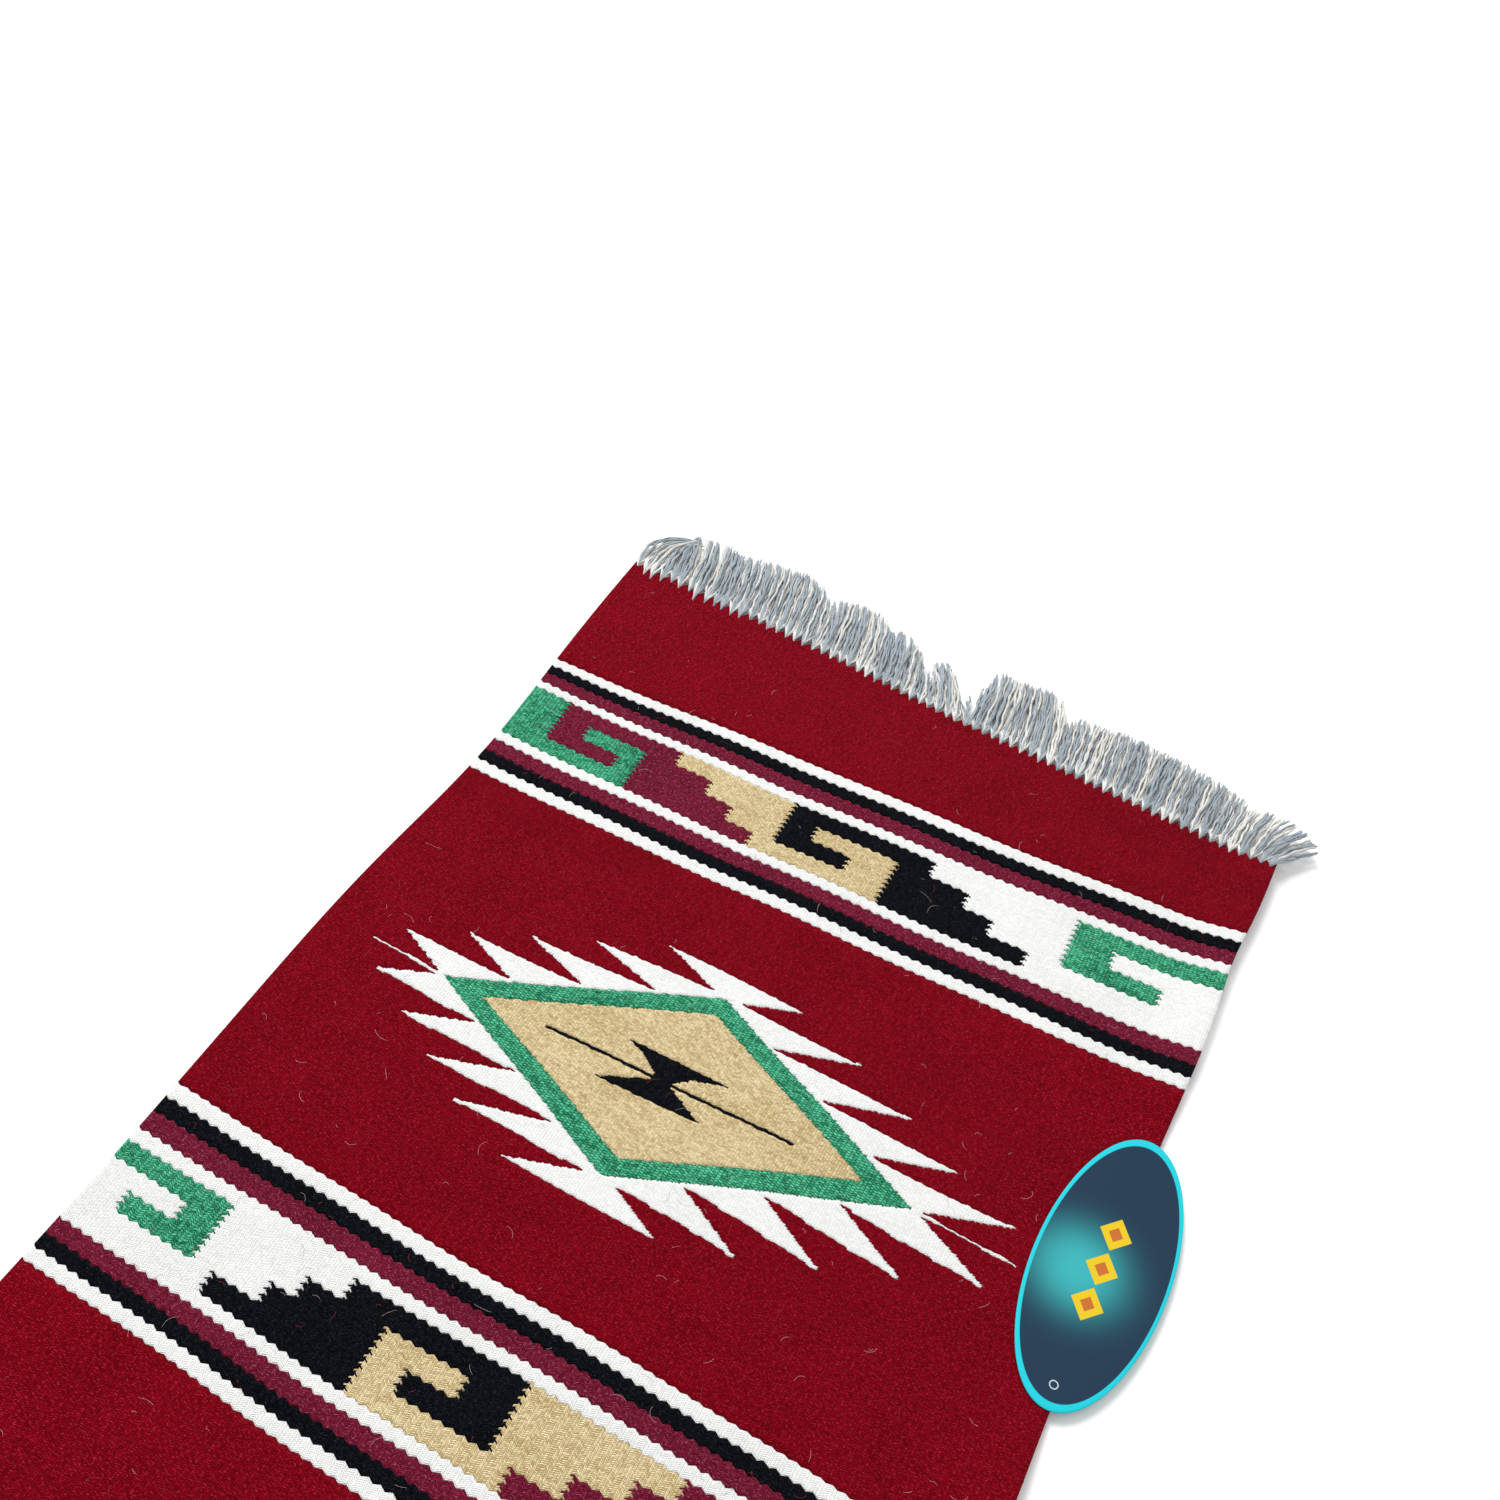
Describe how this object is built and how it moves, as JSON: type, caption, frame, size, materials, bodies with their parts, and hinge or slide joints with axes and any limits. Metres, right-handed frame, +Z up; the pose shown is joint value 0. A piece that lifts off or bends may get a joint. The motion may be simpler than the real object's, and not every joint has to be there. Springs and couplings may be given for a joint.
{
  "type": "table runner",
  "caption": "Hand-woven wool kilim table runner, with patterned bands, stepped diamonds, cotton fringe at both ends and a loose oval swing tag.",
  "frame": {"origin": "centre of the cloth's underside, on the surface that it lies on", "axes": "+X across the cloth, +Y along it towards the fringe that is far from the viewer, +Z up out of the face"},
  "size_m": [0.3745, 0.9206, 0.0041],
  "materials": {
    "red_weft": "single-ply wool weft, dyed deep red, matt with a short fuzz",
    "maroon_weft": "single-ply wool weft, dyed maroon, matt with a short fuzz",
    "black_weft": "single-ply wool weft, dyed blue-black, matt with a short fuzz",
    "white_weft": "single-ply wool weft, bleached white, matt with a short fuzz",
    "tan_weft": "single-ply wool weft, dyed tan, matt with a short fuzz",
    "green_weft": "single-ply wool weft, dyed jade green, matt with a short fuzz",
    "warp_cotton": "plied cotton warp, recycled blue-grey and off-white fibre, undyed",
    "tag_card": "coated card, printed dark slate with a turquoise rim, semi-gloss"
  },
  "bodies": {
    "runner_middle": {"far_diamond_border": "green_weft", "far_diamond_bow": "black_weft", "far_diamond_field": "tan_weft", "far_diamond_flames": "white_weft", "far_diamond_red": "red_weft", "middle_band_black_step": "black_weft", "middle_band_far_black_stripe": "black_weft", "middle_band_far_maroon_stripe": "maroon_weft", "middle_band_far_white_stripe": "white_weft", "middle_band_green_hook": "green_weft", "middle_band_green_scroll": "green_weft", "middle_band_maroon_step": "maroon_weft", "middle_band_near_black_stripe": "black_weft", "middle_band_near_maroon_stripe": "maroon_weft", "middle_band_near_white_stripe": "white_weft", "middle_band_tan_step": "tan_weft", "middle_band_white_ground": "white_weft", "middle_warps": "warp_cotton", "near_diamond_border": "green_weft", "near_diamond_bow": "black_weft", "near_diamond_field": "tan_weft", "near_diamond_flames": "white_weft", "near_diamond_red": "red_weft"},
    "far_drop": {"far_band_black_step": "black_weft", "far_band_far_black_stripe": "black_weft", "far_band_far_maroon_stripe": "maroon_weft", "far_band_far_white_stripe": "white_weft", "far_band_green_hook": "green_weft", "far_band_green_scroll": "green_weft", "far_band_maroon_step": "maroon_weft", "far_band_near_black_stripe": "black_weft", "far_band_near_maroon_stripe": "maroon_weft", "far_band_near_white_stripe": "white_weft", "far_band_tan_step": "tan_weft", "far_band_white_ground": "white_weft", "far_drop_red": "red_weft", "far_end_red": "red_weft", "far_warps": "warp_cotton"},
    "near_drop": {"near_band_black_step": "black_weft", "near_band_far_black_stripe": "black_weft", "near_band_far_maroon_stripe": "maroon_weft", "near_band_far_white_stripe": "white_weft", "near_band_green_hook": "green_weft", "near_band_green_scroll": "green_weft", "near_band_maroon_step": "maroon_weft", "near_band_near_black_stripe": "black_weft", "near_band_near_maroon_stripe": "maroon_weft", "near_band_near_white_stripe": "white_weft", "near_band_tan_step": "tan_weft", "near_band_white_ground": "white_weft", "near_drop_red": "red_weft", "near_end_red": "red_weft", "near_warps": "warp_cotton"},
    "swing_tag": {"swing_tag": "tag_card"}
  },
  "joints": [
    {"name": "far_drop_hinge", "type": "hinge", "parent": "runner_middle", "child": "far_drop", "pos_m": [0, 0.23208, 0], "axis": [-1, 0, 0], "range_deg": [0, 90]},
    {"name": "near_drop_hinge", "type": "hinge", "parent": "runner_middle", "child": "near_drop", "pos_m": [0, -0.23208, 0], "axis": [1, 0, 0], "range_deg": [0, 90]},
    {"name": "tag_lift", "type": "slide", "parent": "runner_middle", "child": "swing_tag", "axis": [0, 0, 1], "range_m": [0, 0.15]}
  ]
}
